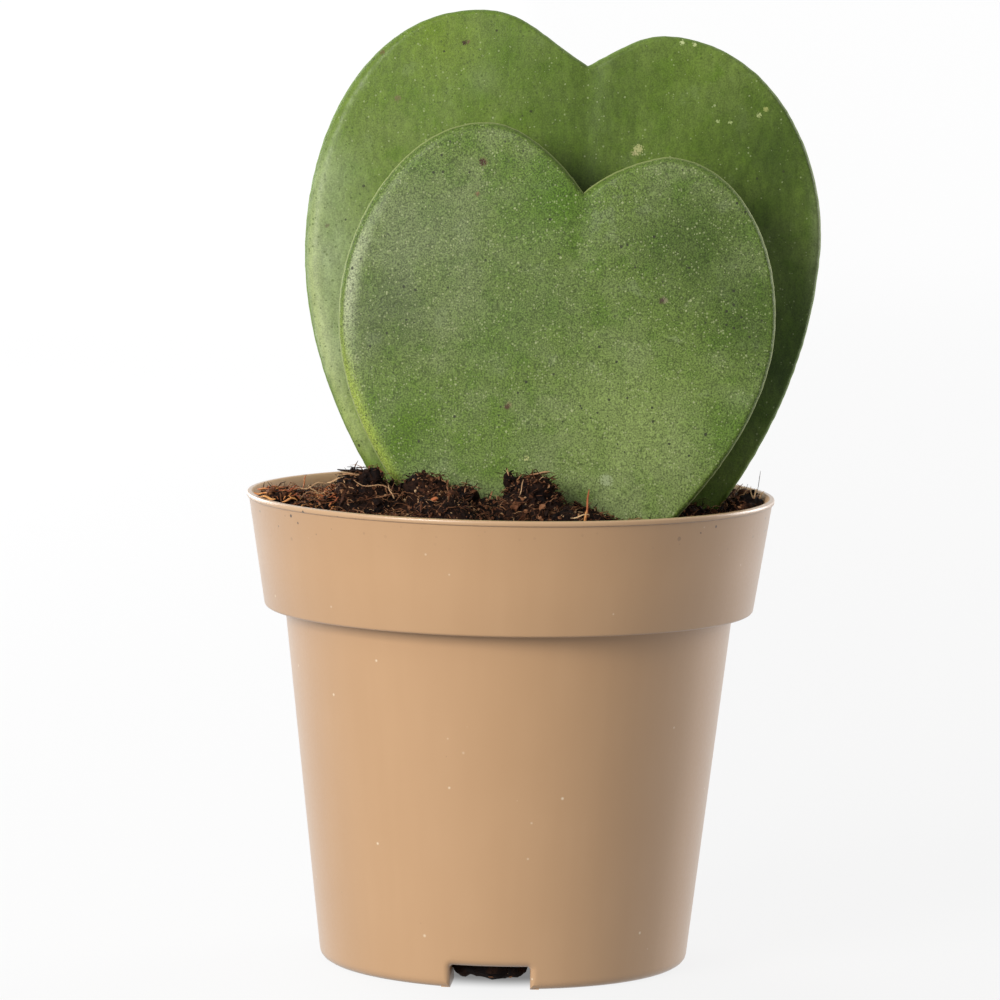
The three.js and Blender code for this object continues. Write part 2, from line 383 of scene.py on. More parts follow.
def collarRadius(height):
    share = (height - collarBottom) / (potTop - potSet["lipHeight"] - collarBottom)
    return mix(potSet["collarBottomRadius"], rimRadius - potSet["lipOverhang"], share)


def innerRadius(height):
    return collarRadius(height) - potSet["wall"]


# Radius, height and edge rounding of each ring of the pot, from the floor's underside round to its top

def potRings():
    p = potSet
    lipBottom = potTop - p["lipHeight"]
    shoulder = collarBottom + p["wall"]
    middleRadius = mix(collarRadius(collarBottom), collarRadius(lipBottom), 0.5)
    skirtInner = p["baseRadius"] - p["skirt"]
    rows = [row * mm for row in p["rowHeights"]]
    rings = [
        (p["floorMiddle"], p["floorUnder"], 0),
        (skirtInner, p["floorUnder"], p["cornerRound"]),
        (skirtInner, 0, p["cornerRound"]),
        (bodyRadius(0), 0, p["footRound"]),
    ]
    rings += [(bodyRadius(row), row, 0) for row in rows]
    rings += [
        (p["bodyTopRadius"], collarBottom, p["cornerRound"]),
        (p["collarBottomRadius"], collarBottom, p["cornerRound"]),
        (middleRadius, mix(collarBottom, lipBottom, 0.5), 0),
        (collarRadius(lipBottom), lipBottom, p["lipRound"] / 2),
        (rimRadius, lipBottom, p["lipRound"]),
        (rimRadius, potTop, p["lipRound"]),
        (rimRadius - p["wall"], potTop, p["lipRound"]),
        (innerRadius(lipBottom), lipBottom, 0),
        (innerRadius(shoulder), shoulder, p["cornerRound"]),
        (p["bodyTopRadius"] - p["wall"], shoulder, p["cornerRound"]),
    ]
    rings += [(bodyRadius(row) - p["wall"], row, 0) for row in reversed(rows) if row > 2 * floorTop]
    rings += [
        (bodyRadius(floorTop) - p["wall"], floorTop, p["footRound"]),
        (p["floorMiddle"], floorTop, 0),
    ]
    return rings


def raiseRings(rings):
    radius, height, _ = rings[0]
    bpy.ops.mesh.primitive_circle_add(
        vertices=potSet["sides"], radius=radius, fill_type="TRIFAN", location=(axisX, 0, height))
    pot = freshObject("nursery_pot")
    applyPlace()
    setMode("EDIT")
    bpy.ops.mesh.select_mode(type="EDGE")
    bpy.ops.mesh.select_all(action="SELECT")
    bpy.ops.mesh.region_to_loop()
    for nextRadius, nextHeight, _ in rings[1:]:
        bpy.ops.mesh.extrude_region_move(TRANSFORM_OT_translate={"value": (0, 0, nextHeight - height)})
        grow = nextRadius / radius
        bpy.ops.transform.resize(value=(grow, grow, 1), center_override=(axisX, 0, nextHeight))
        radius, height = nextRadius, nextHeight
    bpy.ops.mesh.edge_face_add()
    bpy.ops.mesh.poke()
    setMode("OBJECT")
    return pot


def roundRings(pot, rings):
    widest = max(ring[2] for ring in rings)
    weights = pot.data.attributes.new("bevel_weight_edge", "FLOAT", "EDGE")
    near = 0.01 * mm
    spots = [(fromAxis(vertex.co), vertex.co.z) for vertex in pot.data.vertices]
    for edge in pot.data.edges:
        for radius, height, width in rings:
            ends = (spots[i] for i in edge.vertices)
            if width and all(abs(r - radius) < near and abs(z - height) < near for r, z in ends):
                weights.data[edge.index].value = width / widest
    bevel = pot.modifiers.new("soft corners", "BEVEL")
    bevel.limit_method = "WEIGHT"
    bevel.width = widest
    bevel.segments = potSet["roundSteps"]
    bevel.use_clamp_overlap = False
    applyAll(pot)
    pot.data.attributes.remove(pot.data.attributes["bevel_weight_edge"])


def quarterCircle(x, y, radius, start):
    angles = [math.radians(start - 15 * step) for step in range(7)]
    return [(x + radius * math.cos(angle), y + radius * math.sin(angle)) for angle in angles]


# One arch of points round a notch, at a depth below the pot's outside or on a flat, wider by spread

def notchArch(depth, spread, flat=None):
    p = potSet
    half = p["notchWidth"] / 2 + spread
    top = p["floorUnder"] + spread
    corner = p["notchCorner"] + spread
    shoulder = top - corner
    flatHalf = half - corner
    arch = [(-half, -1 * mm), (-half, 0.6 * shoulder)]
    arch += quarterCircle(-half + corner, shoulder, corner, 180)
    arch += [(mix(-flatHalf, flatHalf, step / 8), top) for step in range(1, 8)]
    arch += quarterCircle(flatHalf, shoulder, corner, 90)
    arch += [(half, 0.6 * shoulder), (half, -1 * mm)]
    points = []
    for across, height in arch:
        radius = bodyRadius(max(height, 0))
        outwards = flat or math.sqrt(radius ** 2 - across ** 2) - depth
        points.append(Vector((outwards, across, height)))
    return points


# What a notch takes out of the skirt: straight sides inside, a rounded mouth outside

def notchTool(turn):
    reach = potSet["notchRound"]
    angles = [math.radians(90 - 10 * step) for step in range(9)]
    mouth = [(reach - reach * math.cos(angle), reach - reach * math.sin(angle)) for angle in angles]
    mouth.append((mouth[-1][0] - math.sin(angles[-1]) * mm, reach + math.cos(angles[-1]) * mm))
    arches = [notchArch(0, 0, potSet["ribInner"])]
    arches += [notchArch(depth, spread) for depth, spread in mouth]
    arches.append(notchArch(0, reach + mm, potSet["baseRadius"] + 2 * mm))
    tool = bmesh.new()
    rows = [[tool.verts.new(point) for point in arch] for arch in arches]
    for row, following in zip(rows, rows[1:]):
        for i in range(len(row)):
            j = (i + 1) % len(row)
            tool.faces.new((row[i], row[j], following[j], following[i]))
    tool.faces.new(rows[0])
    tool.faces.new(rows[-1])
    tool.transform(Matrix.Translation((axisX, 0, 0)) @ turnBy(turn))
    mesh = bpy.data.meshes.new("notch tool")
    tool.to_mesh(mesh)
    tool.free()
    return linkMesh("notch tool", mesh)


def ribTool(turn, side):
    p = potSet
    outer = p["baseRadius"] - p["skirt"] / 2 - p["footRound"] / 2
    offset = side * (p["notchWidth"] + p["ribThick"]) / 2
    top = p["floorUnder"] + p["floorThick"] / 2
    middle = turnBy(turn) @ Vector(((outer + p["ribInner"]) / 2, offset, top / 2)) + Vector((axisX, 0, 0))
    bpy.ops.mesh.primitive_cube_add(size=1, location=middle, rotation=(0, 0, math.radians(turn)))
    rib = freshObject("rib tool")
    rib.scale = (outer - p["ribInner"], p["ribThick"], top)
    applyPlace()
    return rib


def drainTool(turn):
    p = potSet
    place = turnBy(turn) @ Vector((p["drainReach"], 0, p["floorUnder"]))
    place.x += axisX
    bpy.ops.mesh.primitive_cylinder_add(
        vertices=48, radius=p["drainRadius"], depth=4 * p["floorThick"], location=place)
    hole = freshObject("drain tool")
    applyPlace()
    return hole


def makePot():
    rings = potRings()
    pot = raiseRings(rings)
    tidyNormals(pot)
    roundRings(pot, rings)
    for turn in potSet["notchTurns"]:
        for side in (-1, 1):
            booleanWith(pot, ribTool(turn, side), "UNION")
    for turn in potSet["notchTurns"]:
        booleanWith(pot, notchTool(turn), "DIFFERENCE")
        booleanWith(pot, drainTool(turn), "DIFFERENCE")
    pickOnly(pot)
    bpy.ops.object.shade_smooth_by_angle(angle=math.radians(potSet["smoothAngle"]))
    return pot


potFinish = {
    "mottle": (2500.0, 90.0),
    "streaks": (900.0, 260.0),
    "streakSqueeze": 0.06,
    "tan": (0.52, 0.315, 0.165),
    "darkTan": (0.475, 0.28, 0.14),
    "streakShare": 0.5,
    # painted highlight: the lip colour is a paler band along the top of the lip
    "lip": (0.52, 0.35, 0.205),
    "lipShare": 0.5,
    "lipReach": (0.75 * mm, 0.1 * mm),
    "dust": (0.75, 0.62, 0.45),
    "dirt": (0.05, 0.03, 0.02),
    "specks": ((260.0, 0.07, 0.22, "dust"), (400.0, 0.09, 0.6, "dust"), (330.0, 0.07, 0.22, "dirt")),
    "lipDirt": ((1300.0, 0.3, 0.3), (750.0, 0.25, 0.12)),
    "dirtBelow": (5 * mm, 1 * mm),
    "dirtSides": (14 * mm, 25 * mm, 0.1, 1.0),
    "soiled": (0.17, 0.1, 0.065),
    "soiledShare": 0.9,
    "soiledBelow": (0.5 * mm, 2 * mm),
    "soiledStreaks": (0.3, 0.6, 0.45, 1.0),
    "insideBlur": 0.1 * mm,
    "insideAbove": (2 * mm, 3 * mm),
    "roughness": 0.4,
    "roughSwing": (-0.04, 0.06),
    "insideDuller": 0.35,
    "coat": 0.8,
    "coatRoughness": 0.28,
    "bump": (0.25, 0.02 * mm),
}


# The inner face of the collar, told from the outer one by how far it is from the axis

def insideMask(where, height):
    slope = (collarRadius(potTop) - collarRadius(collarBottom)) / potSet["collarHeight"]
    radius = farFrom(where, (axisX, 0, 0), (1, 1, 0))
    straight = math2("SUBTRACT", radius, times(height, slope))
    wallMiddle = collarRadius(potTop) - potTop * slope - potSet["wall"] / 2
    blur = potFinish["insideBlur"]
    inwards = between(straight, wallMiddle + blur, wallMiddle - blur)
    low, high = (collarBottom + above for above in potFinish["insideAbove"])
    return times(inwards, between(height, low, high))


def makePotPlastic():
    p = potFinish
    material, tree, where = newMaterial("tan plastic")
    lipLow, lipHigh = (potTop - below for below in p["lipReach"])
    dirtLow, dirtHigh = (potTop - below for below in p["dirtBelow"])
    soiledHigh, soiledLow = (potTop - below for below in p["soiledBelow"])
    mottle = mottled(where, *p["mottle"])
    streaks = mottled(squeezed(where, p["streakSqueeze"]), *p["streaks"])
    axes = splitAxes(where)
    color = blendColor(mottle["Coarse"], p["darkTan"], p["tan"])
    streak = between(streaks["Coarse"], *noiseSpan, 0.0, p["streakShare"])
    color = blendColor(streak, color, p["darkTan"])
    # painted highlight: the top band of the lip is blended toward the paler lip colour
    lipHighlight = between(axes["Z"], lipLow, lipHigh, 0.0, p["lipShare"])
    color = blendColor(lipHighlight, color, p["lip"])
    for scale, size, share, tint in p["specks"]:
        color = blendColor(spotted(where, scale, size, share), color, p[tint])
    sideways = math2("ABSOLUTE", math2("SUBTRACT", axes["X"], axisX), 0)
    nearLip = between(axes["Z"], dirtLow, dirtHigh)
    patchy = times(nearLip, between(sideways, *p["dirtSides"]))
    for spots in p["lipDirt"]:
        dirt = times(spotted(where, *spots), patchy)
        color = blendColor(dirt, color, p["dirt"])
    inside = insideMask(where, axes["Z"])
    soiled = times(inside, between(axes["Z"], soiledHigh, soiledLow, 0.0, p["soiledShare"]))
    soiled = times(soiled, between(streaks["Fine"], *p["soiledStreaks"]))
    swings = (p["roughness"] + swing for swing in p["roughSwing"])
    rough = between(mottle["Fine"], *noiseSpan, *swings)
    feedShader(tree, {
        "Base Color": blendColor(soiled, color, p["soiled"]),
        "Roughness": math2("ADD", rough, times(inside, p["insideDuller"])),
        "Coat Weight": times(math2("SUBTRACT", 1.0, inside), p["coat"]),
        "Coat Roughness": p["coatRoughness"],
        "Normal": bumped(mottle["Fine"], *p["bump"]),
    })
    return material


pot = makePot()
finishPiece(pot, makePotPlastic(), ["pot"])


# leaves

leafSet = {
    "sides": 448,
    "edgeRings": 12,
    "innerRings": 20,
    "middleShare": 0.62,
    "groove": 0.22 * mm,
    "ridge": 0.7 * mm,
    "ribWidth": 1.3 * mm,
    "swell": 0.16 * mm,
    "swellSize": 9 * mm,
    "nibble": 0.05 * mm,
    "nibbleSize": 0.9 * mm,
    "stalkTop": 2.4 * mm,
    "stalkEnd": 1.6 * mm,
    "stalkLength": 9 * mm,
    "stalkOverlap": 3 * mm,
    "tipPull": (3.8, 3.2),
    "tipKeep": 0.15,
    "smoothAngle": 60,
}

# Heart outlines in the leaf's own plane, in millimetres from the tip

frontLeaf = {
    "name": "hoya_leaf_front",
    "node": "leaf_front",
    "slot": "front_leaf_skin",
    "notch": (-0.4, 50.1),
    "right": {"notchPull": (2.2, 2.6), "lobe": (9.2, 55.2), "lobePull": (2.3, 8.4),
              "wide": (22.9, 35.9), "widePull": (9.6, 16.1)},
    "left": {"notchPull": (-3, 3.6), "lobe": (-11.2, 56.8), "lobePull": (3.3, 8.9),
             "wide": (-26.4, 35.9), "widePull": (9.8, 20.2)},
    "thick": 3.4 * mm,
    "edgeRound": (0.7 * mm, 2.7 * mm),
    "camber": 0.9 * mm,
    "bend": 1 * mm,
    "tip": (3.2, -5.8, 38),
    "lean": 5.5,
    "tilt": 2,
    "seed": 3.1,
}

backLeaf = {
    "name": "hoya_leaf_back",
    "node": "leaf_back",
    "slot": "back_leaf_skin",
    "notch": (-0.5, 70.1),
    "right": {"notchPull": (4.3, 2.8), "lobe": (8.6, 74.3), "lobePull": (2.8, 12.7),
              "wide": (27.9, 51.1), "widePull": (10.1, 29.3)},
    "left": {"notchPull": (-4.7, 2.5), "lobe": (-12, 75.5), "lobePull": (3.9, 11.8),
             "wide": (-31.1, 49.4), "widePull": (14.5, 26.8)},
    "thick": 3.6 * mm,
    "edgeRound": (0.65 * mm, 2.1 * mm),
    "camber": 1.2 * mm,
    "bend": 1.2 * mm,
    "tip": (3.6, 3.2, 32),
    "lean": 4,
    "tilt": 3,
    "seed": 8.7,
}


# Knots of the heart with the handles before and after each, from the notch round by the right

def sideKnots(side, way):
    (lobeX, lobeY), (wideX, wideY) = side["lobe"], side["wide"]
    (lobeBefore, lobeAfter), (wideBefore, wideAfter) = side["lobePull"], side["widePull"]
    return [
        ((lobeX, lobeY), (lobeX - way * lobeBefore, lobeY), (lobeX + way * lobeAfter, lobeY)),
        ((wideX, wideY), (wideX, wideY + wideBefore), (wideX, wideY - wideAfter)),
    ]


def heartKnots(leaf):
    notch, right, left = leaf["notch"], leaf["right"], leaf["left"]
    pull = leafSet["tipPull"]
    pulls = (left["notchPull"], right["notchPull"])
    return [
        (notch, *((notch[0] + x, notch[1] + y) for x, y in pulls)),
        *sideKnots(right, 1),
        ((0, 0), pull, (-pull[0], pull[1])),
        *((at, after, before) for at, before, after in reversed(sideKnots(left, -1))),
    ]


def drawHeart(leaf):
    bpy.ops.curve.primitive_bezier_curve_add()
    heart = freshObject("heart outline")
    spline = heart.data.splines[0]
    knots = heartKnots(leaf)
    spline.bezier_points.add(len(knots) - 2)
    spline.use_cyclic_u = True
    heart.data.resolution_u = 64
    for point, (at, before, after) in zip(spline.bezier_points, knots):
        point.handle_left_type = point.handle_right_type = "FREE"
        point.co = Vector((*at, 0)) * mm
        point.handle_left = Vector((*before, 0)) * mm
        point.handle_right = Vector((*after, 0)) * mm
    bpy.ops.object.convert(target="MESH")
    heart = bpy.context.object
    points = [vertex.co.xy for vertex in heart.data.vertices]
    bpy.data.objects.remove(heart)
    return evenlySpaced(points, leafSet["sides"])


def evenlySpaced(points, count):
    closed = [*points, points[0]]
    lengths = [0]
    for start, end in zip(closed, closed[1:]):
        lengths.append(lengths[-1] + (end - start).length)
    spaced, at = [], 0
    for i in range(count):
        wanted = lengths[-1] * i / count
        while lengths[at + 1] < wanted:
            at += 1
        share = (wanted - lengths[at]) / (lengths[at + 1] - lengths[at])
        spaced.append(closed[at].lerp(closed[at + 1], share))
    return spaced


# A ball becomes the leaf: its rings turn into the rounded edge and the two faces

def makeLeaf(leaf):
    s = leafSet
    outline = drawHeart(leaf)
    count = s["sides"]
    inwards = []
    for i in range(count):
        along = (outline[(i + 1) % count] - outline[i - 1]).normalized()
        inwards.append(Vector((along.y, -along.x)))
    middle = Vector((0, leaf["notch"][1] * mm * s["middleShare"]))
    half = s["edgeRings"] + s["innerRings"]
    bpy.ops.mesh.primitive_uv_sphere_add(segments=count, ring_count=2 * half, radius=1)
    blade = freshObject(leaf["name"])
    edgeDistance = blade.data.attributes.new("edgeDistance", "FLOAT", "POINT")
    frontSide = blade.data.attributes.new("frontSide", "FLOAT", "POINT")
    for vertex in blade.data.vertices:
        ring = round(math.acos(max(-1, min(1, vertex.co.z))) / math.pi * 2 * half)
        i = round(math.atan2(vertex.co.y, vertex.co.x) / (2 * math.pi) * count) % count
        side = -1 if ring > half else 1
        fromPole = min(ring, 2 * half - ring)
        inEdge = max(fromPole - s["innerRings"], 0)
        angle = math.pi / 2 * (1 - inEdge / s["edgeRings"])
        inset = mix(*leaf["edgeRound"], max(inwards[i].x, 0) ** 3) * (1 - math.cos(angle))
        share = min(fromPole / s["innerRings"], 1)
        inner = outline[i] + inwards[i] * inset
        if abs(inner.x) < s["tipKeep"] * abs(outline[i].x) or inner.x * outline[i].x < 0:
            inner.x = s["tipKeep"] * outline[i].x  # the two sides don't cross at the tip
        point = middle.lerp(inner, share)
        rim = outline[i] * 1000 + Vector((leaf["seed"], 0))  # in millimetres
        nibble = noise.noise(Vector((rim.x, rim.y, 0)) * (mm / s["nibbleSize"]))
        point += inwards[i] * s["nibble"] * nibble * share
        edgeDistance.data[vertex.index].value = inset + (1 - share) * (outline[i] - middle).length
        frontSide.data[vertex.index].value = max(side, 0)
        depth = leafMiddle(leaf, point)
        thick = (leaf["thick"] / 2 + leafRib(leaf, point, side)) * math.sqrt(1 - math.cos(angle) ** 3)
        vertex.co = Vector((point.x, depth - side * thick, point.y))
    joinStalk(blade)
    tip = Vector(leaf["tip"]) * mm + Vector((axisX, 0, 0))
    turn = turnBy(-leaf["tilt"], "X") @ turnBy(leaf["lean"], "Y")
    blade.data.transform(Matrix.Translation(tip) @ turn)
    tidyNormals(blade)
    bpy.ops.object.shade_smooth_by_angle(angle=math.radians(s["smoothAngle"]))
    return blade


def leafMiddle(leaf, point):
    across = point.x / (leaf["right"]["wide"][0] * mm)
    up = point.y / (leaf["notch"][1] * mm)
    place = Vector((point.x, point.y, leaf["seed"] * 10 * mm)) / leafSet["swellSize"]
    return leaf["camber"] * across ** 2 + leaf["bend"] * up ** 2 + leafSet["swell"] * noise.noise(place)


def leafRib(leaf, point, side):
    near = math.exp(-(point.x / leafSet["ribWidth"]) ** 2)
    up = min(max(point.y / (leaf["notch"][1] * mm), 0), 1)
    return -leafSet["groove"] * near * up ** 4 if side > 0 else leafSet["ridge"] * near * (1 - up)


def joinStalk(blade):
    s = leafSet
    length = s["stalkLength"] + s["stalkOverlap"]
    bpy.ops.mesh.primitive_cone_add(
        vertices=32, radius1=s["stalkEnd"], radius2=s["stalkTop"], depth=length,
        location=(0, 0, s["stalkOverlap"] - length / 2))
    stalk = freshObject("stalk")
    applyPlace()
    tidyNormals(blade)
    booleanWith(blade, stalk, "UNION")


# Patches, marks and rims: place from the pot's axis, reach, a rim's span from the edge, colour and
# strength. Some patches are painted sheen and painted shade, marks are scars and flecks, and rims are
# painted highlights along the margin.

frontFinish = {
    "face": (0.115, 0.175, 0.034), "bloom": (0.16, 0.21, 0.075), "fresh": (0.085, 0.155, 0.018),
    "deep": (0.045, 0.07, 0.016), "haze": (0.2, 0.25, 0.12), "fleck": (0.42, 0.47, 0.24),
    "band": (0.085, 0.14, 0.018), "line": (0.31, 0.36, 0.13), "speck": (0.03, 0.035, 0.018),
    "bandWidth": 1.0, "grain": 0.55, "streak": 0.12, "flecks": 1.0, "roughness": 0.46,
    "patches": (
        # painted sheen: a paler grey-green zone on the upper left of the face
        ((-10, 82), 10, (0.145, 0.185, 0.08), 0.8),
        ((-14.6, 74), 6.5, (0.075, 0.105, 0.036), 0.75),
        ((4.6, 87), 6, (0.07, 0.145, 0.01), 0.9),
        ((-2.5, 71), 5, (0.075, 0.145, 0.012), 0.6),
        ((-13, 61), 8, (0.075, 0.15, 0.004), 0.9),
        ((20.5, 82), 9, (0.055, 0.09, 0.018), 0.75),
        ((27, 74), 6, (0.045, 0.085, 0.01), 0.85),
        ((2, 76), 7, (0.1, 0.15, 0.04), 0.6),
        ((14, 61), 11, (0.21, 0.28, 0.085), 0.85),
        ((-2, 60), 6, (0.1, 0.175, 0.016), 0.8),
        ((25.5, 61), 6, (0.075, 0.15, 0.01), 0.85),
    ),
    "marks": (
        ((-3.7, 91.2), 0.8, (0.16, 0.085, 0.05), 0.6),
        ((-3.8, 91.2), 0.7, (0.05, 0.018, 0.01), 0.95),
        ((-4.3, 87.6), 0.5, (0.2, 0.1, 0.06), 0.7),
        ((-0.4, 64.0), 0.7, (0.26, 0.2, 0.11), 0.6),
        ((-0.6, 63.8), 0.6, (0.07, 0.03, 0.02), 0.9),
        ((16.9, 76.1), 0.75, (0.26, 0.22, 0.15), 0.6),
        ((16.6, 76.0), 0.6, (0.06, 0.03, 0.025), 0.9),
        ((10.7, 55.7), 1.3, (0.34, 0.4, 0.23), 0.65),
        ((1.7, 58.0), 0.55, (0.48, 0.5, 0.2), 0.8),
    ),
    # painted highlights along the left margin
    "rimHighlights": (
        ((-19.5, 61), 15, (0.0, 0.3), (0.36, 0.45, 0.085), 0.75),
        ((-19.5, 77), 10, (0.5, 0.9), (0.35, 0.39, 0.24), 0.75),
    ),
}

backFinish = {
    "face": (0.112, 0.18, 0.02), "bloom": (0.14, 0.205, 0.038), "fresh": (0.095, 0.17, 0.012),
    "deep": (0.055, 0.09, 0.012), "haze": (0.17, 0.24, 0.07), "fleck": (0.38, 0.44, 0.22),
    "band": (0.1, 0.175, 0.014), "line": (0.14, 0.23, 0.02), "speck": (0.035, 0.045, 0.012),
    "bandWidth": 0.45, "grain": 0.32, "streak": 0.4, "flecks": 0.25, "roughness": 0.44,
    "patches": (
        # painted sheen: pale grey-green zones down the left side of the face
        ((-22.5, 88), 6, (0.26, 0.33, 0.15), 0.8),
        ((-22.5, 79), 7, (0.3, 0.37, 0.19), 0.85),
        ((-22, 70), 7, (0.34, 0.41, 0.21), 0.85),
        ((-1, 103), 4, (0.085, 0.155, 0.01), 0.7),
        ((-9, 104.5), 5, (0.13, 0.205, 0.008), 0.7),
        ((-4, 100), 2.2, (0.16, 0.22, 0.07), 0.6),
        ((8, 95.5), 2.5, (0.14, 0.19, 0.055), 0.6),
        # painted sheen, like the zones on the left side above
        ((-20, 60), 5, (0.33, 0.42, 0.13), 0.85),
        # painted shade: the right side of the face is darkened where the front leaf shadows it and where it
        # turns away from the light
        ((30, 92), 12, (0.036, 0.064, 0.007), 0.85),
        ((30, 69), 14, (0.03, 0.062, 0.006), 0.9),
        # painted shadow behind the front leaf's notch
        ((7.3, 87), 7, (0.045, 0.07, 0.01), 0.85),
        ((9, 98), 13, (0.06, 0.105, 0.01), 0.75),
    ),
    "marks": (
        ((-6.1, 104.3), 0.6, (0.04, 0.018, 0.01), 0.95),
        ((-5.7, 104.4), 0.4, (0.14, 0.07, 0.05), 0.7),
        ((-15.5, 103.0), 0.55, (0.12, 0.06, 0.03), 0.7),
        ((-13.7, 97.8), 0.7, (0.16, 0.1, 0.06), 0.6),
        ((-21.5, 83.2), 0.5, (0.1, 0.08, 0.04), 0.7),
        ((13.9, 92.5), 1.0, (0.46, 0.46, 0.2), 0.75),
        ((13.4, 92.0), 0.6, (0.4, 0.38, 0.18), 0.7),
        ((18.7, 104.7), 0.5, (0.55, 0.62, 0.3), 0.85),
        ((20.1, 104.5), 0.42, (0.5, 0.56, 0.26), 0.8),
        ((27.6, 96.6), 0.55, (0.42, 0.48, 0.2), 0.8),
        ((28.4, 97.3), 0.5, (0.4, 0.42, 0.14), 0.7),
        ((22.9, 95.8), 0.4, (0.4, 0.48, 0.2), 0.7),
        ((24.4, 95.7), 0.4, (0.4, 0.48, 0.2), 0.7),
    ),
    # painted highlights along the left and right margins
    "rimHighlights": (
        ((-24, 72), 17, (0.45, 0.9), (0.36, 0.42, 0.18), 0.6),
        ((34.5, 82), 8, (0.15, 0.3), (0.16, 0.2, 0.09), 0.7),
    ),
}


leafSkin = {
    "grain": (5400.0, 1300.0),
    "clouds": (330.0, 110.0),
    "streaks": (1500.0, 330.0),
    "streakSqueeze": 0.42,
    "streakLean": 0.12,
    "bloom": (0.35, 0.65),
    "fresh": (0.47, 0.68, 0.0, 0.75),
    "haze": (0.42, 0.3, 0.0, 0.4),
    "patchy": (0.25, 0.6, 0.6, 1.0),
    "patchBlur": 1.3,
    "ragged": 0.25 * mm,
    "bandShare": 0.8,
    "rimStart": 0.35,
    "rimEnd": 1.8,
    "spots": (
        (3800.0, 0.5, 0.3, "fleck", 0.45),
        (1900.0, 0.32, 0.07, "fleck", 0.65),
        (3000.0, 0.48, 0.22, "deep", 0.6),
        (1000.0, 0.22, 0.5, "speck", 0.9),
        (170.0, 0.1, 0.16, "deep", 0.9),
    ),
    "torn": 2.2,
    "markEdge": (0.55, 0.85),
    "lineWidth": 0.2 * mm,
    "lineShare": 0.95,
    "specular": 0.3,
    "roughSwing": (0.08, -0.06),
    "edgeDuller": 0.22,
    "dullReach": (0.1 * mm, 0.8 * mm),
    "bump": (0.4, 0.05 * mm),
}


def patchMask(where, front, middle, reach):
    far = farFrom(where, (middle[0] * mm + axisX, 0, middle[1] * mm), (1, 0, 1))
    return times(between(far, reach * mm * leafSkin["patchBlur"], 0.0), front)


def makeLeafSkin(name, finish):
    s = leafSkin
    material, tree, where = newMaterial(name)
    edge = readMark(tree, "edgeDistance")
    front = readMark(tree, "frontSide")
    grain = mottled(where, *s["grain"])
    clouds = mottled(where, *s["clouds"])
    streaks = mottled(squeezed(where, s["streakSqueeze"], s["streakLean"]), *s["streaks"])
    color = blendColor(between(clouds["Coarse"], *s["bloom"]), finish["face"], finish["bloom"])
    for tint in ("fresh", "haze"):
        color = blendColor(between(clouds["Fine"], *s[tint]), color, finish[tint])
    patchy = between(streaks["Coarse"], *s["patchy"])
    for middle, reach, tint, strength in finish["patches"]:
        mask = times(patchMask(where, front, middle, reach), patchy)
        color = blendColor(times(mask, strength), color, tint)
    # a darker olive band just inside the margin: partly the leaf's own darker margin, partly painted shade
    # on the rounded edge
    ragged = math2("ADD", edge, times(streaks["Coarse"], s["ragged"]))
    width = finish["bandWidth"] * mm
    band = between(ragged, 0.5 * width, width, s["bandShare"], 0.0)
    color = blendColor(band, color, finish["band"])
    # painted highlights: pale bands at a span from the edge
    for middle, reach, (low, high), tint, strength in finish["rimHighlights"]:
        mask = patchMask(where, front, middle, reach)
        mask = times(mask, between(ragged, low * mm, (low + s["rimStart"]) * mm, 0.0, strength))
        mask = times(mask, between(ragged, (high + s["rimEnd"]) * mm, high * mm))
        color = blendColor(mask, color, tint)
    streak = finish["streak"]
    level = math2("ADD", times(grain["Fine"], 1 - streak), times(streaks["Fine"], streak))
    level = between(level, *noiseSpan, 1 - finish["grain"], 1 + finish["grain"])
    color = addNode("ShaderNodeVectorMath", {0: color, "Scale": level}, operation="SCALE").outputs[0]
    for scale, size, share, tint, strength in s["spots"]:
        amount = 1.0 if tint == "deep" else finish["flecks"]
        spots = spotted(where, scale, size, share * amount)
        color = blendColor(times(spots, strength), color, finish[tint])
    torn = times(math2("SUBTRACT", grain["Fine"], 0.5), s["torn"])
    for middle, reach, tint, strength in finish["marks"]:
        mask = math2("ADD", patchMask(where, front, middle, reach), torn)
        color = blendColor(between(mask, *s["markEdge"], 0.0, strength), color, tint)
    # painted rim light: a thin pale line along the very edge of the front face
    line = times(between(edge, 0.0, s["lineWidth"], s["lineShare"], 0.0), front)
    swings = (finish["roughness"] + swing for swing in s["roughSwing"])
    rough = between(grain["Coarse"], *noiseSpan, *swings)
    duller = between(edge, *s["dullReach"], s["edgeDuller"], 0.0)
    feedShader(tree, {
        "Base Color": blendColor(line, color, finish["line"]),
        "Specular IOR Level": s["specular"],
        "Roughness": math2("ADD", rough, duller, clamp=True),
        "Normal": bumped(level, *s["bump"]),
    })
    return material


blades = []
for leaf, finish in ((frontLeaf, frontFinish), (backLeaf, backFinish)):
    blade = makeLeaf(leaf)
    skin = makeLeafSkin(leaf["slot"].replace("_", " "), finish)
    finishPiece(blade, skin, [leaf["node"]])
    blades.append(treeOf(blade))


# potting mix

